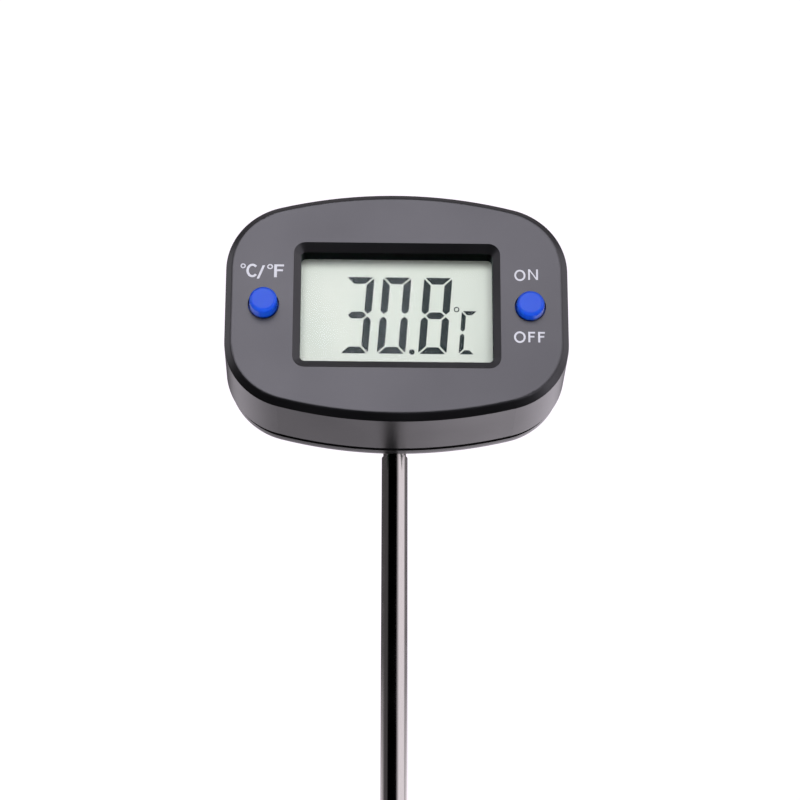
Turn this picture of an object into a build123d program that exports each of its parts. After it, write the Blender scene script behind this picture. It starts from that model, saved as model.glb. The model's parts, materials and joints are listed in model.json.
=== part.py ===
from build123d import *
import os

# Digital probe thermometer: a T-shaped instrument with a display head and a long steel stem.
# Millimetres. The origin is on the stem's axis, level with the underside of the head.
# +Z runs up the stem, +Y to the back of the head, and the display looks along -Y.
# Head parts are drawn on sheets parallel to the display; "depth" is counted back from its face.

# ---- head, outside ----
HEAD_WIDTH = 68.0
HEAD_HEIGHT = 49.2
BOW_RADIUS = 92.0  # gently bowed top and bottom edges
CORNER_RADIUS = 14.2
FACE_BEVEL = 1.3
FACE_EASE = 0.8  # radius that softens the bevel's edge on the face
CASE_DEPTH = 15.4  # front case, face to parting line
SEAM_GAP = 1.2  # recessed groove between the two housings
SEAM_INSET = 0.9
BACK_INSET = 0.5  # rear cover stands in from the front case on each side
BACK_DEPTH = 21.6
BACK_ROUND = 4.0
WALL = 2.0
LIP_HEIGHT = 2.0  # spigot of the rear cover inside the front case
LIP_WALL = 1.2
SNUG = 0.1  # gap per side between housings that locate each other

# ---- display stack ----
WINDOW_WIDTH, WINDOW_HEIGHT, WINDOW_CORNER = 41.1, 27.1, 2.4
WINDOW_Z = -0.13  # window's centre above the head's centre
FUNNEL_DEPTH = 1.1  # sloping border, from the window's edge in to the well
WELL_WIDTH, WELL_HEIGHT, WELL_CORNER = 38.2, 23.6, 1.0
LENS_SEAT = 4.3
LENS_THICK = 1.0
LENS_BORDER = 1.2  # lens overlap behind the edge of the well
LENS_PLAY = 0.1
WELL_WALL = 1.1
LCD_FRONT = 5.5
LCD_THICK = 2.0
LCD_WIDTH, LCD_HEIGHT = 43.0, 30.0
REFLECTOR_THICK, REFLECTOR_HEIGHT = 0.3, 23.0
FRAME_WALL, FRAME_PLAY = 1.3, 0.1
RAIL_Z, RAIL_HEIGHT = 10.6, 1.2
BOARD_FRONT = 9.6
BOARD_THICK = 1.2
BOARD_WIDTH, BOARD_HEIGHT = 60.0, 37.0
STRIP_WIDTH, STRIP_HEIGHT = 40.0, 2.0
STRIP_MARGIN = 0.2
CHIP_Z, CHIP_RADIUS, CHIP_HEIGHT = -11.0, 5.0, 1.3
COMPONENT_WIDTH, COMPONENT_LENGTH, COMPONENT_HEIGHT = 2.0, 1.25, 0.8

# ---- buttons and their switches ----
BUTTON_X, BUTTON_Z = 26.4, -0.3  # from the head's centre
BUTTON_HOLE_RADIUS = 3.12
CAP_RADIUS = 2.77
CAP_EDGE = 0.8
UNIT_PROUD = 2.75  # how far each cap stands out of the face
POWER_PROUD = 2.05
BUTTON_TRAVEL = 0.4
FLANGE_RADIUS = 3.8
FLANGE_FRONT, FLANGE_BACK = 2.15, 2.95
GUIDE_PLAY, GUIDE_WALL, GUIDE_END = 0.2, 1.0, 4.0  # ring inside the case round each flange
ROD_RADIUS = 2.0
SWITCH_SIZE = 6.0
SWITCH_FRONT = 6.1
SWITCH_CHAMFER = 0.5
PLUNGER_RADIUS, PLUNGER_PLAY = 1.7, 0.1
PLUNGER_FRONT = 5.0
PLUNGER_DEPTH = 0.9  # how far it reaches into the switch
FOOT_WIDTH, FOOT_LENGTH, FOOT_THICK = 0.7, 1.4, 0.25

# ---- stem ----
STEM_DEPTH = 21.4  # stem axis behind the face
STEM_RADIUS = 2.6
STEM_BORE = 2.0
STEM_LENGTH = 150.0  # exposed, underside of the head to the tip
TIP_LENGTH = 9.0
TIP_RADIUS = 0.9
NECK_RADIUS = 2.3  # turned-down upper end, held by the head
NECK_LOW = 0.2  # height of the shoulder that butts up to the rear cover
STEM_TOP = 20.5
SPINE_RADIUS = 4.6  # half-round housing over the stem's upper end
SPINE_TOP = 23.5
RAKE_LOW, RAKE_HIGH = 0.9, 4.0  # sloping lower end of that housing
BUSH_RADIUS = 3.4
GLUE_GAP = 0.02  # between the neck and its bush
CLOSE = 0.03  # gap round the pieces that the rear cover holds
NECK_ROOM = 0.15
BUSH_LOW, BUSH_HIGH = 7.0, 17.0
SEAL_LOW, SEAL_SECTION = 4.6, 1.2
CLAMP_REACH = 3.0  # from the stem axis forward to the saddle plate
CLAMP_THICK = 1.6
LEAD_RADIUS, LEAD_X = 0.25, 0.45
LEAD_BEND, LEAD_RISE = 1.4, 22.0
BEAD_RADIUS = 1.0

# ---- battery ----
CELL_RADIUS, CELL_THICK = 5.8, 5.4
CELL_Z = 10.5  # above the head's centre
CELL_FRONT = 13.9
CELL_WELL_RADIUS = 6.15
CELL_WELL_WALL = 1.2
CAP_FLANGE_RADIUS, CAP_FLANGE_THICK = 8.0, 1.4
CAP_PLUG_RADIUS, CAP_PLUG_THICK = 6.9, 1.2
CAP_CLEARANCE = 0.1
CAP_SEAL_SECTION = 0.9
COIN_SLOT_LENGTH, COIN_SLOT_WIDTH, COIN_SLOT_DEPTH = 11.0, 1.8, 0.8

# ---- screws ----
CASE_SCREW_X, CASE_SCREW_Z = 25.9, 14.0
CASE_SCREW_SEAT = 17.4
CASE_SCREW_LENGTH = 9.0
CASE_POST_END = 13.0
CASE_PILOT_DEPTH = 7.0
POST_RADIUS = 2.6
BOARD_SCREW_X, BOARD_SCREW_Z = 26.2, 8.2
BOARD_SCREW_LENGTH = 5.0
BOARD_PILOT_DEPTH = 5.0
STANDOFF_RADIUS = 2.2
CLAMP_SCREW_X = 6.2
CLAMP_SCREW_LENGTH = 3.8
SCREW_RADIUS = 1.0
SCREW_HEAD_RADIUS, SCREW_HEAD_THICK = 1.9, 1.3

FACE_Y = -STEM_DEPTH
HEAD_Z = HEAD_HEIGHT / 2
BOARD_BACK = BOARD_FRONT + BOARD_THICK
COVER_FRONT = CASE_DEPTH + SEAM_GAP
COVER_FLOOR = BACK_DEPTH - 1.8
CELL_BACK = CELL_FRONT + CELL_THICK
CAP_SEAT = BACK_DEPTH - CAP_FLANGE_THICK - CAP_SEAL_SECTION
BUSH_MIDDLE = (BUSH_LOW + BUSH_HIGH) / 2
CLAMP_SEAT = STEM_DEPTH - CLAMP_REACH
BORE_END = -STEM_LENGTH + TIP_LENGTH + 1.0
BEAD_Z = BORE_END + 2.2
CORNERS = [(sx, sz) for sx in (-1, 1) for sz in (-1, 1)]


# ---------------------------------------------------------------- drawing helpers
def at_depth(depth):
    """Plane parallel to the display, seen from the front: local x right, local y up."""
    origin = (0, FACE_Y + depth, HEAD_Z)
    return Plane(origin=origin, x_dir=(1, 0, 0), z_dir=(0, -1, 0))


def slab(sketch, near, far):
    """Extrude a sketch drawn in the head's frame between two depths."""
    return extrude(at_depth(far) * sketch, far - near)


def disc(x, z, radius):
    return Pos(x, z) * Circle(radius)


def rod(x, z, radius, near, far):
    """Round bar along the head's depth."""
    return slab(disc(x, z, radius), near, far)


def on_stem(radius, low, high):
    """Round bar on the stem's axis between two heights."""
    return Pos(0, 0, (low + high) / 2) * Cylinder(radius, high - low)


def head_outline(inset=0.0, side_inset=0.0):
    """Bowed top and bottom, straight sides and large round corners."""
    drop = HEAD_HEIGHT / 2 - BOW_RADIUS
    bow = BOW_RADIUS - inset
    face = Rectangle(HEAD_WIDTH - 2 * (inset + side_inset), 2 * BOW_RADIUS)
    face = face & disc(0, drop, bow) & disc(0, -drop, bow)
    return fillet(face.vertices(), CORNER_RADIUS - inset)


def well(border=0.0, corner=WELL_CORNER):
    """Outline of the display well, grown evenly by a border."""
    return Pos(0, WINDOW_Z) * RectangleRounded(WELL_WIDTH + 2 * border, WELL_HEIGHT + 2 * border, corner)


def screw(length):
    """Pan-head screw with a cross recess; the head's seat is at z = 0 and the shank goes down."""
    shank = Pos(0, 0, -length / 2) * Cylinder(SCREW_RADIUS, length)
    shank = chamfer(shank.edges().group_by(Axis.Z)[0], 0.4)
    head = Pos(0, 0, SCREW_HEAD_THICK / 2) * Cylinder(SCREW_HEAD_RADIUS, SCREW_HEAD_THICK)
    head = fillet(head.edges().group_by(Axis.Z)[-1], 0.5)
    arm = Pos(0, 0, SCREW_HEAD_THICK) * Box(2.2, 0.45, 1.4)
    return shank + head - arm - Rot(0, 0, 90) * arm


def screw_from_back(x, z, seat, length):
    """Screw driven from the back of the head towards the display."""
    return at_depth(seat) * Pos(x, z) * Rot(180, 0, 0) * screw(length)


def write(name, shape):
    export_step(shape, f"parts/{name}.step")


# ---------------------------------------------------------------- front case
def front_case():
    shell = slab(head_outline(), 0, CASE_DEPTH)
    for cut, size in ((chamfer, FACE_BEVEL), (fillet, FACE_EASE)):
        shell = cut(shell.faces().sort_by(Axis.Y)[0].outer_wire().edges(), size)
    shell -= slab(head_outline(WALL), WALL, CASE_DEPTH)
    seat_back = LENS_SEAT + LENS_THICK
    shell += slab(well(LENS_BORDER + WELL_WALL, 2.0), WALL / 2, seat_back)
    guide = FLANGE_RADIUS + GUIDE_PLAY
    for side in (-1, 1):
        shell += rod(side * BUTTON_X, BUTTON_Z, guide + GUIDE_WALL, WALL / 2, GUIDE_END)
    for sx, sz in CORNERS:
        shell += case_post(sx * CASE_SCREW_X, sz * CASE_SCREW_Z)
        shell += board_standoff(sx * BOARD_SCREW_X, sz * BOARD_SCREW_Z)
    for side in (-1, 1):
        shell -= rod(side * BUTTON_X, BUTTON_Z, guide, WALL, GUIDE_END + 1.0)
        shell -= rod(side * BUTTON_X, BUTTON_Z, BUTTON_HOLE_RADIUS, 0, WALL)
    window = Pos(0, WINDOW_Z) * RectangleRounded(WINDOW_WIDTH, WINDOW_HEIGHT, WINDOW_CORNER)
    shell -= loft([at_depth(0) * window, at_depth(FUNNEL_DEPTH) * well()])
    shell -= slab(well(), FUNNEL_DEPTH, seat_back)
    return shell - slab(well(LENS_BORDER), LENS_SEAT, seat_back)


def case_post(x, z):
    post = rod(x, z, POST_RADIUS, WALL / 2, CASE_POST_END)
    return post - rod(x, z, SCREW_RADIUS, CASE_POST_END - CASE_PILOT_DEPTH, CASE_POST_END)


def board_standoff(x, z):
    post = rod(x, z, STANDOFF_RADIUS, WALL / 2, BOARD_FRONT)
    return post - rod(x, z, SCREW_RADIUS, BOARD_FRONT - BOARD_PILOT_DEPTH, BOARD_FRONT)


# ---------------------------------------------------------------- rear cover
def rear_cover():
    cover = slab(head_outline(0, BACK_INSET), COVER_FRONT, BACK_DEPTH)
    cover = fillet(cover.faces().sort_by(Axis.Y)[-1].outer_wire().edges(), BACK_ROUND)
    cover += slab(head_outline(SEAM_INSET), CASE_DEPTH, COVER_FRONT)
    lip = WALL + SNUG
    cover += slab(head_outline(lip), CASE_DEPTH - LIP_HEIGHT, CASE_DEPTH)
    cover -= slab(head_outline(lip + LIP_WALL), CASE_DEPTH - LIP_HEIGHT, COVER_FLOOR)
    cover += stem_spine()
    for sx, sz in CORNERS:
        x, z = sx * CASE_SCREW_X, sz * CASE_SCREW_Z
        cover += rod(x, z, POST_RADIUS, CASE_POST_END, COVER_FLOOR)
        cover -= rod(x, z, SCREW_RADIUS + 0.2, CASE_POST_END, CASE_SCREW_SEAT)
        cover -= rod(x, z, SCREW_HEAD_RADIUS + 0.25, CASE_SCREW_SEAT, BACK_DEPTH)
    for side in (-1, 1):
        cover += rod(side * CLAMP_SCREW_X, BUSH_MIDDLE - HEAD_Z, 2.0, CLAMP_SEAT, COVER_FLOOR)
    cover -= stem_seat()
    cover += rod(0, CELL_Z, CELL_WELL_RADIUS + CELL_WELL_WALL, CELL_FRONT - 0.9, COVER_FLOOR)
    cover += rod(0, CELL_Z, CAP_FLANGE_RADIUS + 1.3, CAP_SEAT - 1.3, COVER_FLOOR)
    cover -= cell_well()
    return cover - clamp_pilots()


def stem_spine():
    """Half-round ridge on the back that houses the top of the stem, with a raked lower end."""
    front = -CLAMP_REACH
    side = Plane.YZ * Polygon((front, RAKE_LOW), (-2.2, RAKE_LOW), (SPINE_RADIUS, RAKE_HIGH),
                              (SPINE_RADIUS, SPINE_TOP), (front, SPINE_TOP), align=None)
    block = Box(2 * SPINE_RADIUS, CLAMP_REACH, SPINE_TOP)
    ridge = on_stem(SPINE_RADIUS, 0, SPINE_TOP) + Pos(0, front / 2, SPINE_TOP / 2) * block
    ridge = ridge & extrude(side, SPINE_RADIUS + 1, both=True)
    return fillet(ridge.edges().group_by(Axis.Z)[-1].sort_by(Axis.Y)[-1:], 1.5)


def stem_seat():
    """Everything cut out of the rear cover for the stem, its seal and its bush."""
    bore = on_stem(STEM_RADIUS + CLOSE, -1.0, NECK_LOW + CLOSE)
    bore += on_stem(NECK_RADIUS + CLOSE, NECK_LOW, SEAL_LOW)
    bore += on_stem(NECK_RADIUS + SEAL_SECTION, SEAL_LOW, SEAL_LOW + SEAL_SECTION)
    bore += on_stem(NECK_RADIUS + NECK_ROOM, SEAL_LOW, STEM_TOP)
    bush = on_stem(BUSH_RADIUS + CLOSE, BUSH_LOW - CLOSE, BUSH_HIGH + CLOSE)
    middle = -CLAMP_REACH / 2
    neck_width = 2 * (NECK_RADIUS + NECK_ROOM)
    neck_way = Box(neck_width, CLAMP_REACH, STEM_TOP - BUSH_LOW)
    bush_way = Box(2 * (BUSH_RADIUS + CLOSE), CLAMP_REACH, BUSH_HIGH - BUSH_LOW + 2 * CLOSE)
    seat = bore + bush + Pos(0, middle, (BUSH_LOW + STEM_TOP) / 2) * neck_way
    seat += Pos(0, middle, BUSH_MIDDLE) * bush_way
    lead_top = LEAD_RISE + 0.6
    lead_way = Box(neck_width, CLAMP_REACH + 1.0, lead_top - STEM_TOP)
    return seat + Pos(0, middle + 0.5, (lead_top + STEM_TOP) / 2) * lead_way


def clamp_pilots():
    far = CLAMP_SEAT - CLAMP_THICK + CLAMP_SCREW_LENGTH + 0.2
    left, right = (rod(side * CLAMP_SCREW_X, BUSH_MIDDLE - HEAD_Z, SCREW_RADIUS, CLAMP_SEAT, far)
                   for side in (-1, 1))
    return left + right


def cell_well():
    """Stepped hole for the cell, its cap and the positive contact's slot."""
    well = rod(0, CELL_Z, CELL_WELL_RADIUS, CELL_FRONT, CAP_SEAT)
    well += rod(0, CELL_Z, 4.4, CELL_FRONT - 1.0, CELL_FRONT)
    well += rod(0, CELL_Z, CAP_PLUG_RADIUS + CAP_CLEARANCE, CAP_SEAT - 1.4, CAP_SEAT)
    well += rod(0, CELL_Z, CAP_FLANGE_RADIUS + CAP_CLEARANCE, CAP_SEAT, BACK_DEPTH + 0.1)
    slot = Pos(CELL_WELL_RADIUS + 0.4, CELL_Z) * Rectangle(2.6, 4.6)
    return well + slab(slot, CELL_FRONT - 1.0, CAP_SEAT - 1.4)


# ---------------------------------------------------------------- display
def display_window():
    return slab(well(LENS_BORDER - LENS_PLAY), LENS_SEAT, LENS_SEAT + LENS_THICK)


def lcd_panel():
    """Two bonded glasses; the rear one is shorter, which bares the contact ledges."""
    front = slab(Rectangle(LCD_WIDTH, LCD_HEIGHT), LCD_FRONT, LCD_FRONT + LCD_THICK / 2)
    back = Rectangle(LCD_WIDTH, LCD_HEIGHT - 2 * (STRIP_HEIGHT + 0.6))
    return front + slab(back, LCD_FRONT + LCD_THICK / 2, LCD_FRONT + LCD_THICK)


def lcd_reflector():
    near = LCD_FRONT + LCD_THICK
    return slab(Rectangle(LCD_WIDTH - 2, REFLECTOR_HEIGHT), near, near + REFLECTOR_THICK)


def lcd_frame():
    """Four-sided clip that holds the glass and both contact strips against the board."""
    outer = RectangleRounded(LCD_WIDTH + 2 * FRAME_WALL, LCD_HEIGHT + 2 * FRAME_WALL, 1.0)
    inner = Rectangle(LCD_WIDTH + 2 * FRAME_PLAY, LCD_HEIGHT + 2 * FRAME_PLAY)
    frame = slab(outer - inner, LCD_FRONT + FRAME_PLAY, BOARD_FRONT)
    rails = Sketch() + [Pos(0, side * RAIL_Z) * Rectangle(LCD_WIDTH + 1, RAIL_HEIGHT) for side in (-1, 1)]
    return frame + slab(rails, LCD_FRONT + LCD_THICK + REFLECTOR_THICK + FRAME_PLAY, BOARD_FRONT)


def contact_strips():
    """Pair of elastomer strips that join the glass to the board."""
    near = LCD_FRONT + LCD_THICK / 2
    z = (LCD_HEIGHT - STRIP_HEIGHT) / 2 - STRIP_MARGIN
    strip = Rectangle(STRIP_WIDTH, STRIP_HEIGHT)
    return [slab(Pos(0, side * z) * strip, near, BOARD_FRONT) for side in (-1, 1)]


# ---------------------------------------------------------------- circuit board
def circuit_board():
    board = head_outline(3.2) & Rectangle(BOARD_WIDTH, BOARD_HEIGHT)
    for sx, sz in CORNERS:
        board -= disc(sx * CASE_SCREW_X, sz * CASE_SCREW_Z, POST_RADIUS + 0.5)
        board -= disc(sx * BOARD_SCREW_X, sz * BOARD_SCREW_Z, SCREW_RADIUS + 0.1)
    return slab(board, BOARD_FRONT, BOARD_BACK)


def controller_chip():
    """Moulded blob over the bonded controller die."""
    blob = rod(0, CHIP_Z, CHIP_RADIUS, BOARD_BACK, BOARD_BACK + CHIP_HEIGHT)
    return fillet(blob.edges().group_by(Axis.Y)[-1], 1.0)


def board_components():
    """Small surface-mount blocks and the timing crystal's can."""
    places = [(-14, -6), (-14, -9), (-14, -12), (14, -6), (14, -9), (14, -12), (-12, 6), (-12, 9)]
    block = Rectangle(COMPONENT_WIDTH, COMPONENT_LENGTH)
    blocks = [slab(Pos(x, z) * block, BOARD_BACK, BOARD_BACK + COMPONENT_HEIGHT) for x, z in places]
    can = Pos(-20, 2) * RectangleRounded(3.0, 8.0, 1.4)
    return blocks + [slab(can, BOARD_BACK, BOARD_BACK + 2.4)]


# ---------------------------------------------------------------- buttons
def button(x, proud):
    """Cap, retaining flange and push rod turned as one piece."""
    cap = rod(x, BUTTON_Z, CAP_RADIUS, -proud, FLANGE_FRONT)
    cap = fillet(cap.edges().group_by(Axis.Y)[0], CAP_EDGE)
    cap += rod(x, BUTTON_Z, FLANGE_RADIUS, FLANGE_FRONT, FLANGE_BACK)
    return cap + rod(x, BUTTON_Z, ROD_RADIUS, FLANGE_BACK, PLUNGER_FRONT)


def switch_plunger(x):
    return rod(x, BUTTON_Z, PLUNGER_RADIUS, PLUNGER_FRONT, SWITCH_FRONT + PLUNGER_DEPTH)


def switch_body(x):
    """Square push switch with four short feet on the board."""
    body = slab(Pos(x, BUTTON_Z) * Rectangle(SWITCH_SIZE, SWITCH_SIZE), SWITCH_FRONT, BOARD_FRONT)
    body = chamfer(body.edges().filter_by(Axis.Y), SWITCH_CHAMFER)
    well_end = SWITCH_FRONT + PLUNGER_DEPTH + BUTTON_TRAVEL + 0.2
    body -= rod(x, BUTTON_Z, PLUNGER_RADIUS + PLUNGER_PLAY, SWITCH_FRONT, well_end)
    for sx, sz in CORNERS:
        foot = Pos(x + sx * 2.0, BUTTON_Z + sz * 3.2) * Rectangle(FOOT_WIDTH, FOOT_LENGTH)
        body += slab(foot, BOARD_FRONT - FOOT_THICK, BOARD_FRONT)
    return body


# ---------------------------------------------------------------- battery
def button_cell():
    """Can with a narrower negative cap facing the board."""
    can = rod(0, CELL_Z, CELL_RADIUS, CELL_FRONT + 0.6, CELL_BACK)
    can = fillet(can.edges(), 0.3)
    return can + rod(0, CELL_Z, CELL_RADIUS - 1.1, CELL_FRONT, CELL_FRONT + 1.0)


def leaf(points, width, thickness):
    """Bent strip whose centre line is drawn in the YZ plane."""
    path = FilletPolyline(*points, radius=0.6)
    return extrude(Plane.YZ * trace(path, thickness), width / 2, both=True)


def battery_contact_negative():
    """Sprung leaf from the board to the face of the cell."""
    thickness = 0.3
    low = FACE_Y + BOARD_BACK + thickness / 2
    touch = FACE_Y + CELL_FRONT - thickness / 2
    z = HEAD_Z + CELL_Z
    return leaf([(low, z - 3.6), (low, z + 2.6), (touch, z - 0.6), (touch, z - 3.2)], 3.0, thickness)


def battery_contact_positive():
    """Upright blade in the well's slot that presses on the side of the cell."""
    foot = slab(Pos(CELL_WELL_RADIUS + 1.5, CELL_Z) * Rectangle(3.0, 3.6), BOARD_BACK, BOARD_BACK + 0.3)
    blade = slab(Pos(CELL_RADIUS + 0.15, CELL_Z) * Rectangle(0.3, 3.6), BOARD_BACK, CELL_BACK - 1.5)
    return foot + blade


def battery_cap():
    """Screw-in cap with a coin slot; its thread is drawn as plain cylinders."""
    plug_end = CAP_SEAT - CAP_PLUG_THICK
    cap = rod(0, CELL_Z, CAP_FLANGE_RADIUS, CAP_SEAT + CAP_SEAL_SECTION, BACK_DEPTH)
    cap = fillet(cap.edges().group_by(Axis.Y)[-1], 0.3)
    cap += rod(0, CELL_Z, CAP_PLUG_RADIUS - 0.5, CAP_SEAT, CAP_SEAT + CAP_SEAL_SECTION)
    cap += rod(0, CELL_Z, CAP_PLUG_RADIUS, plug_end, CAP_SEAT)
    cap -= rod(0, CELL_Z, CELL_RADIUS + 0.2, plug_end, CELL_BACK + 0.1)
    slot = Pos(0, CELL_Z) * SlotOverall(COIN_SLOT_LENGTH, COIN_SLOT_WIDTH)
    return cap - slab(slot, BACK_DEPTH - COIN_SLOT_DEPTH, BACK_DEPTH)


def battery_cap_seal():
    """Rubber ring between the cap's flange and its seat."""
    outer = disc(0, CELL_Z, CAP_FLANGE_RADIUS - 0.1)
    inner = disc(0, CELL_Z, CAP_PLUG_RADIUS - 0.4)
    ring = slab(outer - inner, CAP_SEAT, CAP_SEAT + CAP_SEAL_SECTION)
    return fillet(ring.edges(), 0.3)


# ---------------------------------------------------------------- stem
def probe_tube():
    """Closed steel tube: narrow neck in the head, plain shank, drawn conical tip."""
    shoulder = -STEM_LENGTH + TIP_LENGTH
    tip_centre = -STEM_LENGTH + TIP_RADIUS
    tube = on_stem(STEM_RADIUS, shoulder, NECK_LOW)
    tube += on_stem(NECK_RADIUS, NECK_LOW, STEM_TOP)
    cone = Pos(0, 0, (shoulder + tip_centre) / 2) * Cone(TIP_RADIUS, STEM_RADIUS, shoulder - tip_centre)
    tube += cone
    tube += Pos(0, 0, tip_centre) * Sphere(TIP_RADIUS)
    return tube - on_stem(STEM_BORE, BORE_END, STEM_TOP)


def stem_bush():
    """Collar glued on the neck; it holds the stem in the rear cover."""
    bore = on_stem(NECK_RADIUS + GLUE_GAP, BUSH_LOW, BUSH_HIGH)
    return on_stem(BUSH_RADIUS, BUSH_LOW, BUSH_HIGH) - bore


def stem_seal():
    low = SEAL_LOW + 0.05
    high = SEAL_LOW + SEAL_SECTION - 0.05
    ring = on_stem(NECK_RADIUS + SEAL_SECTION - 0.05, low, high) - on_stem(NECK_RADIUS, low, high)
    return fillet(ring.edges().filter_by(GeomType.CIRCLE).group_by(SortBy.RADIUS)[-1], 0.4)


def stem_clamp():
    """Saddle plate that closes the stem's seat from inside the head."""
    z = BUSH_MIDDLE - HEAD_Z
    near = CLAMP_SEAT - CLAMP_THICK
    clamp = slab(Pos(0, z) * RectangleRounded(16.6, 8.0, 1.5), near, CLAMP_SEAT)
    clamp -= on_stem(BUSH_RADIUS + 0.02, BUSH_LOW, BUSH_HIGH)
    for side in (-1, 1):
        clamp -= rod(side * CLAMP_SCREW_X, z, SCREW_RADIUS + 0.1, near, CLAMP_SEAT)
    return clamp


def clamp_screws():
    places = [at_depth(CLAMP_SEAT - CLAMP_THICK) * Pos(side * CLAMP_SCREW_X, BUSH_MIDDLE - HEAD_Z)
              for side in (-1, 1)]
    return [place * screw(CLAMP_SCREW_LENGTH) for place in places]


# ---------------------------------------------------------------- sensor
def thermistor_bead():
    return Pos(0, 0, BEAD_Z) * Sphere(BEAD_RADIUS)


def tip_filler():
    """Heat-conducting resin cup around the bead at the closed end of the bore."""
    filler = on_stem(STEM_BORE - 0.05, BORE_END + 0.05, BEAD_Z + 3.0)
    filler -= Pos(0, 0, BEAD_Z) * Sphere(BEAD_RADIUS + 0.03)
    return filler - on_stem(BEAD_RADIUS + 0.03, BEAD_Z, BEAD_Z + 3.0)


def sensor_leads():
    """Two insulated wires from the bead, up the stem and across to the board."""
    start = BEAD_Z + BEAD_RADIUS
    leads = []
    for x in (-LEAD_X, LEAD_X):
        end = (x, FACE_Y + BOARD_BACK, LEAD_RISE)
        path = FilletPolyline((x, 0, start), (x, 0, LEAD_RISE), end, radius=LEAD_BEND)
        leads.append(sweep(Plane(origin=(x, 0, start)) * Circle(LEAD_RADIUS), path))
    return leads


def lead_sleeve():
    """Insulating sleeve over both wires inside the stem."""
    low, high = BEAD_Z + 3.5, STEM_TOP - 1.0
    return on_stem(1.5, low, high) - on_stem(1.1, low, high)


# ---------------------------------------------------------------- screw groups
def case_screws():
    places = [(sx * CASE_SCREW_X, sz * CASE_SCREW_Z) for sx, sz in CORNERS]
    return [screw_from_back(x, z, CASE_SCREW_SEAT, CASE_SCREW_LENGTH) for x, z in places]


def board_screws():
    places = [(sx * BOARD_SCREW_X, sz * BOARD_SCREW_Z) for sx, sz in CORNERS]
    return [screw_from_back(x, z, BOARD_BACK, BOARD_SCREW_LENGTH) for x, z in places]


def main():
    os.makedirs("parts", exist_ok=True)
    single = {
        "front_case": front_case(),
        "rear_cover": rear_cover(),
        "display_window": display_window(),
        "lcd_panel": lcd_panel(),
        "lcd_reflector": lcd_reflector(),
        "lcd_frame": lcd_frame(),
        "circuit_board": circuit_board(),
        "controller_chip": controller_chip(),
        "unit_button": button(-BUTTON_X, UNIT_PROUD),
        "unit_switch_plunger": switch_plunger(-BUTTON_X),
        "unit_switch": switch_body(-BUTTON_X),
        "power_button": button(BUTTON_X, POWER_PROUD),
        "power_switch_plunger": switch_plunger(BUTTON_X),
        "power_switch": switch_body(BUTTON_X),
        "button_cell": button_cell(),
        "battery_contact_negative": battery_contact_negative(),
        "battery_contact_positive": battery_contact_positive(),
        "battery_cap": battery_cap(),
        "battery_cap_seal": battery_cap_seal(),
        "probe_tube": probe_tube(),
        "stem_bush": stem_bush(),
        "stem_seal": stem_seal(),
        "stem_clamp": stem_clamp(),
        "thermistor_bead": thermistor_bead(),
        "tip_filler": tip_filler(),
        "lead_sleeve": lead_sleeve(),
    }
    groups = {
        "contact_strips": contact_strips(),
        "board_components": board_components(),
        "clamp_screws": clamp_screws(),
        "sensor_leads": sensor_leads(),
        "case_screws": case_screws(),
        "board_screws": board_screws(),
    }
    for name, shape in single.items():
        write(name, shape)
    for name, solids in groups.items():
        write(name, Compound(children=solids))


main()
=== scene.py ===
import json
import math

import bmesh
import bpy
from mathutils import Matrix, Vector


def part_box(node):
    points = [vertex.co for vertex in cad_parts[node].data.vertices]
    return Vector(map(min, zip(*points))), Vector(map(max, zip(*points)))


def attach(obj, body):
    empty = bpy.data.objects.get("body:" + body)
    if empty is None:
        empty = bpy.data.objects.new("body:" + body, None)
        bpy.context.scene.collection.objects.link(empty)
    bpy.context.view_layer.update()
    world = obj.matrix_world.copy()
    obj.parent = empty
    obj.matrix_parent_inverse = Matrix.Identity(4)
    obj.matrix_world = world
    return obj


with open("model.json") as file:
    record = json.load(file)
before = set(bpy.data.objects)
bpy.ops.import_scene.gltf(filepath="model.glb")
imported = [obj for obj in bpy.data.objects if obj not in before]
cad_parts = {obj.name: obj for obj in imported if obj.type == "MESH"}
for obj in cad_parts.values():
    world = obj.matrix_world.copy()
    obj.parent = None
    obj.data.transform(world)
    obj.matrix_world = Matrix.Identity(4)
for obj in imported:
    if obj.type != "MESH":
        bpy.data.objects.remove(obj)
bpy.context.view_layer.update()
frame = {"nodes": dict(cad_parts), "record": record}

# Looks of a digital probe thermometer. Metres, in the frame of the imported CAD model:
# +Z up the stem, the display faces -Y, +X to the right of someone reading it.
MM = 0.001
NODES = frame["nodes"]

face_low, face_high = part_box("front_case")
FACE_Y = face_low[1]
HEAD_X = (face_low[0] + face_high[0]) / 2
HEAD_Z = (face_low[2] + face_high[2]) / 2
FACE_CENTRE = Vector((HEAD_X, FACE_Y, HEAD_Z))
LCD_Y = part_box("lcd_panel")[0][1]

# ---- camera ----
LENS_MM = 127.7
SENSOR_WIDTH_MM = 36.0
NEAREST = 0.01  # nothing closer to the camera is drawn
CAMERA_TURN = math.radians(-1.14)  # to the left of square on
CAMERA_RISE = math.radians(22.68)  # looking up at the display from below
CAMERA_ROLL = math.radians(0.1)
CAMERA_DISTANCE = 561.3 * MM
AIM_RIGHT = 0.60 * MM  # where the camera aims, from the centre of the face
AIM_UP = -18.97 * MM

# ---- studio ----
FLOOR_Z = -0.30
FLOOR_SIZE = 6.0
FLOOR_LIGHT = 1.4
FLOOR_LIGHT_SPREAD = math.radians(60)
EVEN_COLOUR = (0.985, 0.96, 1.045)
HIGHLIGHT_COLOUR = (0.99, 0.955, 1.085)
WORLD_COLOUR = (1.01, 0.945, 1.03)
SEEN_BY_CAMERA = 1.1  # bright enough to be plain white in spite of the tint

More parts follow.
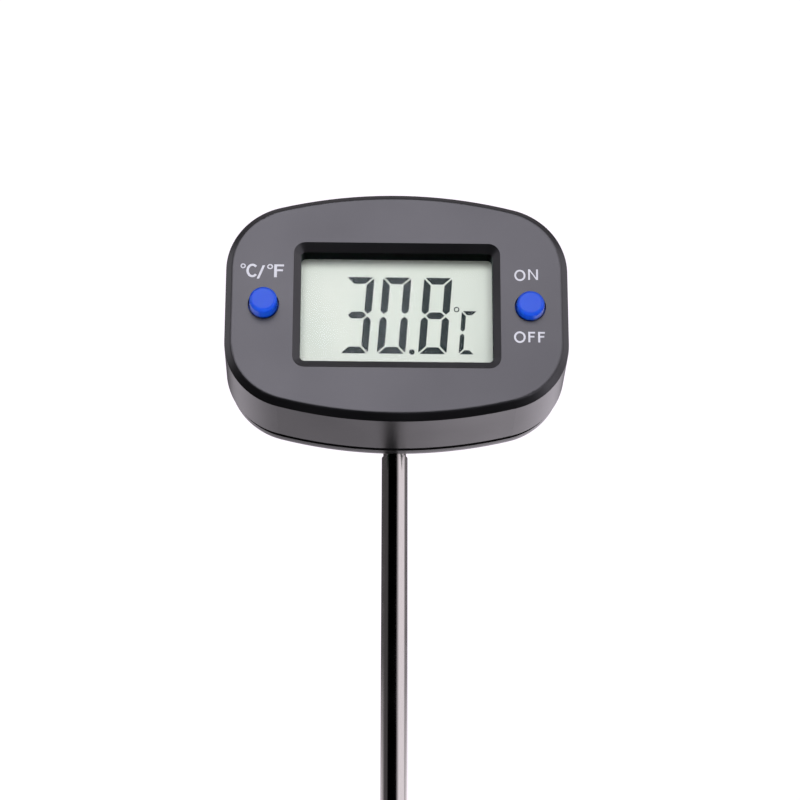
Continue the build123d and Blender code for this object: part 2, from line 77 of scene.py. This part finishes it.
# Soft boxes aimed at the face: degrees round from the reader, degrees up, distance, width, height,
# radiance, whether they make highlights, even light or both, and what they light (see add_panels).
PANELS = {
    "key_left": (-14.5, 24, 0.95, 0.5, 0.78, 4.95, "highlight", "front"),
    "key_right": (14.5, 24, 0.95, 0.5, 0.78, 3.65, "highlight", "front"),
    "left": (-92, 22, 0.7, 0.25, 0.5, 1.8, "both", "head"),
    "front_left": (-43, 24, 0.9, 0.48, 0.7, 2.3, "highlight", "front"),
    "front_right": (44, 24, 0.9, 0.45, 0.7, 1.2, "highlight", "front"),
    "right": (94, 22, 0.7, 0.25, 0.5, 1.0, "highlight", "head"),
    "low_right": (65, -20, 0.6, 0.9, 0.22, 2.0, "highlight", "no_buttons"),
    "fill": (2, 10.5, 0.95, 0.68, 0.36, 13.2, "even", "head"),
    "button_fill": (0, -66, 0.27, 0.30, 0.20, 5.0, "even", "buttons"),
    "stem_floor": (0, -90, 0.27, 1.0, 1.0, 0.45, "highlight", "stem"),
}
# Parts that the polished stem and the window don't mirror.
HIDDEN_FROM_GLOSS = ("front_case", "rear_cover", "lcd_panel", "lcd_reflector", "lcd_frame", "contact_strips")

# Surroundings, as the object reflects them: a ring times a band at the reader's level, another pair
# lower down behind the object, and a glow overhead. Rings hold (degrees round from the reader,
# brightness). Bands hold (height, brightness), from 0 straight below to 1 straight above.
LEVEL_RING = [
    (-180, 0.075), (-64, 0.075), (-54, 0.0), (18, 0.0), (30, 0.45), (42, 1.0),
    (92, 1.0), (103, 0.3), (110, 0.17), (146, 0.17), (170, 0.10)]
LEVEL_BAND = [(0.42, 0.0), (0.52, 1.0), (0.85, 1.0), (0.92, 0.0)]
BACK_RING = [
    (-180, 1.10), (-172, 0.80), (-160, 1.0), (-150, 1.35), (-125, 1.2), (-90, 0.0),
    (90, 0.0), (125, 1.6), (150, 2.2), (165, 1.75), (175, 1.55), (180, 1.15)]
BACK_BAND = [(0.16, 0.0), (0.24, 1.0), (0.60, 1.0), (0.65, 0.0)]
OVERHEAD = [(0.86, 0.0), (0.94, 0.38)]

# ---- printing and display marks: bare numbers are millimetres, x and z from the head's centre ----
PRINT_THICK = 0.02 * MM
SEGMENT_LIFT = 0.04 * MM
ARC_STEPS = 40
DIGIT_SLANT = 0.076  # run over rise
DIGIT_CHOP = 0.12  # cut corner of a bar, as a share of its thickness
DIGIT_LOW = -8.32
# Left edge, width, height, bar thickness, gap between bars and lit bars. The last is the small C.
DIGITS = [
    (-11.33, 5.66, 16.68, 1.46, 0.38, "abcdg"),
    (-3.92, 5.66, 16.68, 1.46, 0.38, "abcdef"),
    (4.29, 5.66, 16.68, 1.46, 0.38, "abcdefg"),
    (12.35, 3.2, 9.44, 0.90, 0.32, "adef"),
]


# ---------------------------------------------------------------- camera, light and floor
def add_camera():
    turn, rise, roll = CAMERA_TURN, CAMERA_RISE, CAMERA_ROLL
    right = Vector((math.cos(turn), math.sin(turn), 0))
    ahead = Vector((-math.sin(turn) * math.cos(rise), math.cos(turn) * math.cos(rise), math.sin(rise)))
    up = right.cross(ahead)
    rolled_right = right * math.cos(roll) + up * math.sin(roll)
    rolled_up = up * math.cos(roll) - right * math.sin(roll)
    aim = FACE_CENTRE + rolled_right * AIM_RIGHT + rolled_up * AIM_UP
    data = bpy.data.cameras.new("camera")
    data.lens = LENS_MM
    data.sensor_width = SENSOR_WIDTH_MM
    data.clip_start = NEAREST
    camera = bpy.data.objects.new("camera", data)
    axes = Matrix((rolled_right, rolled_up, -ahead)).transposed().to_4x4()
    camera.matrix_world = Matrix.Translation(aim - ahead * CAMERA_DISTANCE) @ axes
    bpy.context.scene.collection.objects.link(camera)
    bpy.context.scene.camera = camera


def add_floor(material):
    half = FLOOR_SIZE / 2
    mesh = bpy.data.meshes.new("floor")
    corners = [(-half, -half), (half, -half), (half, half), (-half, half)]
    mesh.from_pydata([(x, y, FLOOR_Z) for x, y in corners], [], [(0, 1, 2, 3)])
    mesh.materials.append(material)
    floor = bpy.data.objects.new("floor", mesh)
    bpy.context.scene.collection.objects.link(floor)
    floor.visible_glossy = False
    return floor


def light_group(name, members, state):
    """Light-linking collection that takes in only these objects, or leaves them out."""
    group = bpy.data.collections.new(name)
    for member in members:
        group.objects.link(member)
    for entry in group.collection_objects:
        entry.light_linking.link_state = state
    return group


def toward(azimuth, elevation):
    """Unit vector from the head: azimuth 0 is towards the reader (-Y) and +90 is +X."""
    across, up = math.radians(azimuth), math.radians(elevation)
    return Vector((math.sin(across) * math.cos(up), -math.cos(across) * math.cos(up), math.sin(up)))


def add_panel(name, azimuth, elevation, distance, width, height, radiance, role, lit):
    """Soft box. Its role says whether it makes highlights, even light or both."""
    data = bpy.data.lights.new(name, "AREA")
    data.shape = "RECTANGLE"
    data.size = width
    data.size_y = height
    data.color = HIGHLIGHT_COLOUR if role == "highlight" else EVEN_COLOUR
    data.energy = radiance * math.pi * width * height
    panel = bpy.data.objects.new(name, data)
    out = toward(azimuth, elevation)
    place = FACE_CENTRE + out * distance
    panel.matrix_world = Matrix.Translation(place) @ out.to_track_quat("Z", "Y").to_matrix().to_4x4()
    panel.visible_camera = False
    panel.visible_diffuse = role != "highlight"
    panel.visible_glossy = role != "even"
    bpy.context.scene.collection.objects.link(panel)
    panel.light_linking.receiver_collection = lit


def add_panels(floor):
    """Key above the camera, soft boxes at both sides, and even light from the front and below."""
    stem, cover = NODES["probe_tube"], NODES["rear_cover"]
    buttons = [NODES["unit_button"], NODES["power_button"]]
    groups = {
        "no_buttons": light_group("no_buttons", [floor, *buttons], "EXCLUDE"),
        "head": light_group("head", [stem, floor], "EXCLUDE"),
        "front": light_group("front", [stem, cover, floor], "EXCLUDE"),
        "buttons": light_group("buttons", buttons, "INCLUDE"),
        "stem": light_group("stem", [stem], "INCLUDE")}
    for name, (*setting, lit) in PANELS.items():
        add_panel(name, *setting, groups[lit])
    for name in HIDDEN_FROM_GLOSS:
        NODES[name].visible_glossy = False


def add_floor_light(floor):
    """Even light on the floor alone, so that it is pale from every side."""
    data = bpy.data.lights.new("floor_light", "SUN")
    data.energy = FLOOR_LIGHT
    data.angle = FLOOR_LIGHT_SPREAD
    lamp = bpy.data.objects.new("floor_light", data)
    lamp.visible_glossy = False
    bpy.context.scene.collection.objects.link(lamp)
    lamp.light_linking.receiver_collection = light_group("floor_only", [floor], "INCLUDE")


def ramp(tree, source, stops):
    """Brightness of source by straight lines between (position, brightness) stops."""
    node = tree.nodes.new("ShaderNodeValToRGB")
    elements = node.color_ramp.elements
    while len(elements) < len(stops):
        elements.new(0.5)
    for element, (position, level) in zip(elements, stops):
        element.position = position
        element.color = (level, level, level, 1)
    tree.links.new(source, node.inputs["Fac"])
    return node.outputs["Color"]


def ring_ramp(tree, around, stops):
    return ramp(tree, around, [(degrees / 360 + 0.5, level) for degrees, level in stops])


def math_node(tree, operation, *values):
    node = tree.nodes.new("ShaderNodeMath")
    node.operation = operation
    for socket, value in zip(node.inputs, values):
        if isinstance(value, (int, float)):
            socket.default_value = value
        else:
            tree.links.new(value, socket)
    return node.outputs[0]


def add_world():
    """White to the camera. To everything else: bright to the right and behind, dark to the left."""
    world = bpy.data.worlds.new("studio")
    bpy.context.scene.world = world
    world.use_nodes = True
    tree = world.node_tree
    tree.nodes.clear()
    direction = tree.nodes.new("ShaderNodeTexCoord").outputs["Generated"]
    parts = tree.nodes.new("ShaderNodeSeparateXYZ")
    tree.links.new(direction, parts.inputs[0])
    x, y, z = parts.outputs
    angle = math_node(tree, "ARCTAN2", x, math_node(tree, "MULTIPLY", y, -1.0))
    around = math_node(tree, "MULTIPLY_ADD", angle, 1 / math.tau, 0.5)
    height = math_node(tree, "MULTIPLY_ADD", z, 0.5, 0.5)
    level = math_node(tree, "MULTIPLY", ring_ramp(tree, around, LEVEL_RING), ramp(tree, height, LEVEL_BAND))
    back = math_node(tree, "MULTIPLY", ring_ramp(tree, around, BACK_RING), ramp(tree, height, BACK_BAND))
    light = math_node(tree, "ADD", math_node(tree, "ADD", level, ramp(tree, height, OVERHEAD)), back)
    camera_ray = tree.nodes.new("ShaderNodeLightPath").outputs["Is Camera Ray"]
    seen = math_node(tree, "MULTIPLY", camera_ray, SEEN_BY_CAMERA)
    background = tree.nodes.new("ShaderNodeBackground")
    background.inputs["Color"].default_value = (*WORLD_COLOUR, 1)
    tree.links.new(math_node(tree, "MAXIMUM", light, seen), background.inputs["Strength"])
    output = tree.nodes.new("ShaderNodeOutputWorld")
    tree.links.new(background.outputs[0], output.inputs["Surface"])


# ---------------------------------------------------------------- material helpers
NOISE_RANGE = (0.3, 0.7)  # nearly all of a noise lies between these
METAL_PATCH_MM = 6


def shader_of(material):
    return material.node_tree.nodes["Principled BSDF"]


def new_material(name):
    material = bpy.data.materials.new(name)
    material.use_nodes = True
    return material, material.node_tree, shader_of(material)


def noise(tree, size_mm, stretch=(1, 1, 1), detail=2.0):
    """Noise whose blobs are about size_mm across, in the object's own coordinates."""
    place = tree.nodes.new("ShaderNodeTexCoord")
    mapping = tree.nodes.new("ShaderNodeMapping")
    mapping.inputs["Scale"].default_value = stretch
    texture = tree.nodes.new("ShaderNodeTexNoise")
    texture.inputs["Scale"].default_value = 1000 / size_mm
    texture.inputs["Detail"].default_value = detail
    tree.links.new(place.outputs["Object"], mapping.inputs["Vector"])
    tree.links.new(mapping.outputs["Vector"], texture.inputs["Vector"])
    return texture.outputs["Fac"]


def spread(tree, source, low, high):
    """Noise stretched over low to high."""
    node = tree.nodes.new("ShaderNodeMapRange")
    node.inputs["From Min"].default_value, node.inputs["From Max"].default_value = NOISE_RANGE
    node.inputs["To Min"].default_value = low
    node.inputs["To Max"].default_value = high
    tree.links.new(source, node.inputs["Value"])
    return node.outputs["Result"]


def tint(tree, source, dark, light):
    """Colour that wanders with a noise from dark to light."""
    node = tree.nodes.new("ShaderNodeMix")
    node.data_type = "RGBA"
    node.inputs["A"].default_value = (*dark, 1)
    node.inputs["B"].default_value = (*light, 1)
    tree.links.new(spread(tree, source, 0, 1), node.inputs["Factor"])
    return node.outputs["Result"]


def bump(tree, shader, source, height_mm, strength=1.0):
    node = tree.nodes.new("ShaderNodeBump")
    node.inputs["Strength"].default_value = strength
    node.inputs["Distance"].default_value = height_mm * MM
    tree.links.new(source, node.inputs["Height"])
    tree.links.new(node.outputs["Normal"], shader.inputs["Normal"])


def moulded(name, dark, light, rough, grain_mm=0.15, height_mm=0.002, patch_mm=14):
    """Moulded plastic, resin or rubber: fine surface grain with soft patches of colour and gloss."""
    material, tree, shader = new_material(name)
    patches = noise(tree, patch_mm, detail=3)
    tree.links.new(tint(tree, patches, dark, light), shader.inputs["Base Color"])
    tree.links.new(spread(tree, patches, *rough), shader.inputs["Roughness"])
    bump(tree, shader, noise(tree, grain_mm), height_mm)
    return material


def worked_metal(name, dark, light, rough, line_mm, stretch, height_mm=0.002):
    """Bare or plated metal with fine drawing, turning or polishing lines."""
    material, tree, shader = new_material(name)
    shader.inputs["Metallic"].default_value = 1.0
    lines = noise(tree, line_mm, stretch, detail=4)
    tree.links.new(tint(tree, lines, dark, light), shader.inputs["Base Color"])
    tree.links.new(spread(tree, noise(tree, METAL_PATCH_MM), *rough), shader.inputs["Roughness"])
    bump(tree, shader, lines, height_mm, strength=0.6)
    return material


# ---------------------------------------------------------------- materials
def button_plastic():
    """Blue plastic that lets a little light in."""
    dark, light = (0.003, 0.043, 0.35), (0.005, 0.052, 0.395)
    material = moulded("blue_plastic", dark, light, (0.34, 0.42), grain_mm=0.2, height_mm=0.001)
    shader = shader_of(material)
    shader.inputs["Specular IOR Level"].default_value = 0.2
    shader.inputs["Subsurface Weight"].default_value = 0.5
    shader.inputs["Subsurface Radius"].default_value = (0.1, 0.3, 1.0)
    shader.inputs["Subsurface Scale"].default_value = 1.2 * MM
    return material


def display_glass():
    """Pale grey-green face of the display under its satin polariser."""
    dark, light = (0.553, 0.587, 0.50), (0.583, 0.612, 0.525)
    material = moulded(
        "display_glass", dark, light, (0.42, 0.55), grain_mm=0.08, height_mm=0.0006, patch_mm=9)
    shader_of(material).inputs["Specular IOR Level"].default_value = 0.2
    return material


def display_crystal():
    """Dark bars of the display."""
    dark, light = (0.016, 0.023, 0.022), (0.026, 0.034, 0.032)
    material = moulded(
        "dark_crystal", dark, light, (0.42, 0.55), grain_mm=0.4, height_mm=0.0002, patch_mm=5)
    shader_of(material).inputs["Specular IOR Level"].default_value = 0.02
    return material


def window_clear():
    """Clear window with a low-reflection coat; lamps shine straight through it."""
    material, tree, shader = new_material("coated_window")
    tree.nodes.remove(shader)
    clear = tree.nodes.new("ShaderNodeBsdfTransparent")
    gloss = tree.nodes.new("ShaderNodeBsdfGlossy")
    fresnel = tree.nodes.new("ShaderNodeFresnel")
    mix = tree.nodes.new("ShaderNodeMixShader")
    fresnel.inputs["IOR"].default_value = 1.12
    smears = noise(tree, 8, detail=3)
    tree.links.new(tint(tree, smears, (0.97, 0.985, 0.98), (0.985, 0.995, 0.99)), clear.inputs["Color"])
    tree.links.new(spread(tree, smears, 0.03, 0.07), gloss.inputs["Roughness"])
    tree.links.new(fresnel.outputs[0], mix.inputs["Fac"])
    tree.links.new(clear.outputs[0], mix.inputs[1])
    tree.links.new(gloss.outputs[0], mix.inputs[2])
    tree.links.new(mix.outputs[0], tree.nodes["Material Output"].inputs["Surface"])
    return material


def grey(level):
    return (level, level, level)


def build_materials():
    """One procedural material for each of the record's material slots."""
    drawn = (1, 1, 0.02)
    turned = (1, 1, 8)
    return {
        # seen from outside
        "case_plastic": moulded(
            "black_abs", (0.003, 0.003, 0.0034), (0.005, 0.005, 0.0056), (0.32, 0.40), patch_mm=22),
        "window_clear": window_clear(),
        "lcd_glass": display_glass(),
        "button_blue": button_plastic(),
        "cap_plastic": moulded(
            "grained_black_abs", (0.010, 0.010, 0.011), (0.016, 0.016, 0.017), (0.45, 0.58),
            grain_mm=0.3, height_mm=0.01),
        "stem_steel": worked_metal(
            "polished_steel", (0.61, 0.59, 0.56), (0.69, 0.67, 0.64), (0.10, 0.16),
            line_mm=0.06, stretch=drawn, height_mm=0.0004),
        "screw_steel": worked_metal(
            "zinc_plate", (0.32, 0.32, 0.33), (0.46, 0.46, 0.47), (0.25, 0.38),
            line_mm=0.3, stretch=(1, 5, 1)),
        "seal_rubber": moulded(
            "nitrile", grey(0.012), grey(0.020), (0.6, 0.75), grain_mm=0.2, height_mm=0.006),
        # display and board
        "reflector_film": moulded("film", (0.70, 0.73, 0.70), (0.78, 0.81, 0.78), (0.4, 0.5)),
        "frame_plastic": moulded("white_nylon", (0.72, 0.72, 0.70), (0.80, 0.80, 0.78), (0.5, 0.6)),
        "contact_rubber": moulded(
            "layered_silicone", (0.55, 0.36, 0.40), (0.70, 0.50, 0.54), (0.6, 0.7), grain_mm=0.1),
        "board_laminate": moulded(
            "solder_mask", (0.02, 0.16, 0.06), (0.03, 0.20, 0.08), (0.25, 0.4), grain_mm=0.5),
        "chip_resin": moulded(
            "black_epoxy", grey(0.010), grey(0.018), (0.3, 0.45), grain_mm=0.6, height_mm=0.01),
        "component_body": moulded(
            "ceramic", (0.33, 0.27, 0.20), (0.42, 0.36, 0.28), (0.4, 0.6), grain_mm=0.3),
        "plunger_plastic": moulded("black_acetal", grey(0.020), grey(0.030), (0.4, 0.5)),
        "switch_body": moulded(
            "black_nylon", grey(0.025), grey(0.040), (0.5, 0.6), grain_mm=0.3, height_mm=0.005),
        # battery
        "cell_steel": worked_metal(
            "nickel_plate", (0.55, 0.55, 0.53), (0.72, 0.72, 0.69), (0.22, 0.34),
            line_mm=0.3, stretch=(1, 6, 1)),
        "contact_metal": worked_metal(
            "spring_strip", (0.62, 0.56, 0.42), (0.74, 0.68, 0.54), (0.2, 0.3),
            line_mm=0.2, stretch=drawn),
        # stem and sensor
        "bush_brass": worked_metal(
            "turned_brass", (0.62, 0.44, 0.18), (0.76, 0.58, 0.28), (0.25, 0.35),
            line_mm=0.3, stretch=turned),
        "clamp_plastic": moulded(
            "clamp_nylon", grey(0.025), grey(0.045), (0.5, 0.6), grain_mm=0.3, height_mm=0.005),
        "bead_glass": moulded("bead_glass", grey(0.04), grey(0.08), (0.1, 0.2)),
        "filler_resin": moulded(
            "filled_resin", (0.70, 0.70, 0.66), (0.80, 0.80, 0.76), (0.6, 0.7),
            grain_mm=0.3, height_mm=0.01),
        "lead_insulation": moulded("insulation", (0.45, 0.06, 0.05), (0.58, 0.10, 0.08), (0.35, 0.45)),
        "sleeve_plastic": moulded("sleeve", (0.55, 0.50, 0.40), (0.68, 0.63, 0.52), (0.4, 0.5)),
    }


def dress_nodes(materials):
    for part in frame["record"]["subparts"]:
        slots = NODES[part["node"]].data.materials
        for index in range(len(slots)):
            slots[index] = materials[part["material_slot"]]


# ---------------------------------------------------------------- flat printed shapes
def flat_piece(name, body, shapes, front_y, material):
    """Thin raised marks that ride on a body. A shape is a list of closed outlines of (x, z) metres from
    the head's centre: one for a plain shape, or a ring's outer and inner edge, point for point."""
    form = bmesh.new()
    for shape in shapes:
        near_loops, far_loops = [], []
        for outline in shape:
            near = [form.verts.new((HEAD_X + x, front_y, HEAD_Z + z)) for x, z in outline]
            far = [form.verts.new((HEAD_X + x, front_y + PRINT_THICK, HEAD_Z + z)) for x, z in outline]
            for i in range(len(near)):
                form.faces.new((near[i - 1], near[i], far[i], far[i - 1]))
            near_loops.append(near)
            far_loops.append(far)
        for loops in (near_loops, far_loops):
            if len(loops) == 1:
                form.faces.new(loops[0])
                continue
            outer, inner = loops
            for i in range(len(outer)):
                form.faces.new((outer[i - 1], outer[i], inner[i], inner[i - 1]))
    bmesh.ops.recalc_face_normals(form, faces=form.faces)
    mesh = bpy.data.meshes.new(name)
    form.to_mesh(mesh)
    form.free()
    mesh.materials.append(material)
    piece = bpy.data.objects.new(name, mesh)
    bpy.context.scene.collection.objects.link(piece)
    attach(piece, body)


def to_metres(points, x=0.0, z=0.0):
    """Points in millimetres, moved by x and z, as metres."""
    return [((x + a) * MM, (z + b) * MM) for a, b in points]


def ellipse(x, z, radius_x, radius_z, start=0.0, end=360.0):
    """Points along part of an ellipse, angles in degrees anticlockwise from +x."""
    angles = [math.radians(start + (end - start) * i / ARC_STEPS) for i in range(ARC_STEPS + 1)]
    return [(x + radius_x * math.cos(a), z + radius_z * math.sin(a)) for a in angles]


def dot(x, z, radius):
    return [to_metres(ellipse(x, z, radius, radius)[:-1])]


def ring(x, z, radius_x, radius_z, stroke):
    """Closed ring with its stroke inside the radii."""
    outer = ellipse(x, z, radius_x, radius_z)[:-1]
    inner = ellipse(x, z, radius_x - stroke, radius_z - stroke)[:-1]
    return [to_metres(outer), to_metres(inner)]


def open_arc(x, z, radius_x, radius_z, stroke, start, end):
    """Even stroke along part of an ellipse, inside the radii."""
    outer = ellipse(x, z, radius_x, radius_z, start, end)
    inner = ellipse(x, z, radius_x - stroke, radius_z - stroke, start, end)
    return [to_metres(outer + inner[::-1])]


def letter_f(x, z, width, height, stem, arm):
    """F with its bottom left corner at x, z. The middle arm is lower than half way and shorter."""
    middle, short = 0.54 * height, 0.9 * width
    low, high = middle - arm / 2, middle + arm / 2
    return [to_metres([
        (0, 0), (stem, 0), (stem, low), (short, low), (short, high), (stem, high),
        (stem, height - arm), (width, height - arm), (width, height), (0, height)], x, z)]


def letter_n(x, z, width, height, stroke):
    lean = 1.2 * stroke
    return [to_metres([
        (0, 0), (stroke, 0), (stroke, height - lean), (width - stroke, 0), (width, 0),
        (width, height), (width - stroke, height), (width - stroke, lean), (stroke, height),
        (0, height)], x, z)]


def unit_label():
    """Degrees C, slash, degrees F."""
    return [
        ring(-30.58, 8.02, 0.53, 0.53, 0.24),
        open_arc(-28.72, 7.03, 1.2, 1.48, 0.48, 42, 318),
        [to_metres([(-27.83, 5.27), (-27.35, 5.27), (-26.23, 8.17), (-26.71, 8.17)])],
        ring(-25.22, 7.9, 0.58, 0.55, 0.24),
        letter_f(-24.41, 5.6, 1.95, 2.8, 0.55, 0.42)]


def power_labels():
    """ON above the button and OFF below it."""
    return [
        ring(24.43, 6.54, 1.11, 1.23, 0.36),
        letter_n(26.08, 5.58, 1.95, 2.29, 0.35),
        ring(24.23, -6.89, 1.15, 1.24, 0.38),
        letter_f(25.9, -7.98, 1.34, 2.25, 0.39, 0.35),
        letter_f(27.84, -7.98, 1.34, 2.25, 0.39, 0.35)]


# ---------------------------------------------------------------- display digits
def bars_of_digit(width, height, bar, gap):
    """The seven bars of an upright digit, mitred and pointed, from its bottom left corner."""
    step = gap / math.sqrt(2)
    chop = DIGIT_CHOP * bar
    middle = height / 2
    shoulder = middle + step + bar / 2
    top = [
        (step + chop, height), (width - step - chop, height), (width - step - chop, height - chop),
        (width - bar - step, height - bar), (bar + step, height - bar), (step + chop, height - chop)]
    upper_left = [
        (0, height - step - chop), (chop, height - step - chop / 2), (bar, height - bar - step),
        (bar, shoulder), (bar / 2, middle + step), (0, shoulder)]
    across = [
        (bar / 2 + step, middle), (bar + step, middle + bar / 2),
        (width - bar - step, middle + bar / 2), (width - bar / 2 - step, middle),
        (width - bar - step, middle - bar / 2), (bar + step, middle - bar / 2)]
    return {
        "a": top,
        "b": [(width - x, z) for x, z in upper_left],
        "c": [(width - x, height - z) for x, z in upper_left],
        "d": [(x, height - z) for x, z in top],
        "e": [(x, height - z) for x, z in upper_left],
        "f": upper_left,
        "g": across}


def digit(left, width, height, bar, gap, lit):
    """Lit bars of a slanted digit. left is where its bottom left corner stands."""
    bars = bars_of_digit(width, height, bar, gap)
    return [[to_metres([(left + x + DIGIT_SLANT * z, DIGIT_LOW + z) for x, z in bars[key]])] for key in lit]


def reading():
    """Digits 30.8, the small C, the decimal point and the degree ring."""
    bars = [bar for setting in DIGITS for bar in digit(*setting)]
    return bars + [dot(3.07, -7.92, 0.58), ring(12.02, 1.44, 0.56, 0.58, 0.21)]


# ---------------------------------------------------------------- build
add_camera()
add_world()
paper = moulded("pale_paper", grey(0.78), grey(0.82), (0.8, 0.9), grain_mm=1.5, height_mm=0.02, patch_mm=300)
floor = add_floor(paper)
add_floor_light(floor)
add_panels(floor)

dress_nodes(build_materials())
ink = moulded(
    "white_ink", (0.41, 0.42, 0.44), (0.46, 0.47, 0.49), (0.5, 0.6),
    grain_mm=0.1, height_mm=0.001, patch_mm=1.5)
flat_piece("unit_label", "case", unit_label(), FACE_Y - PRINT_THICK, ink)
flat_piece("power_labels", "case", power_labels(), FACE_Y - PRINT_THICK, ink)
flat_piece("display_digits", "case", reading(), LCD_Y - SEGMENT_LIFT, display_crystal())

bpy.context.scene.view_settings.view_transform = "Standard"
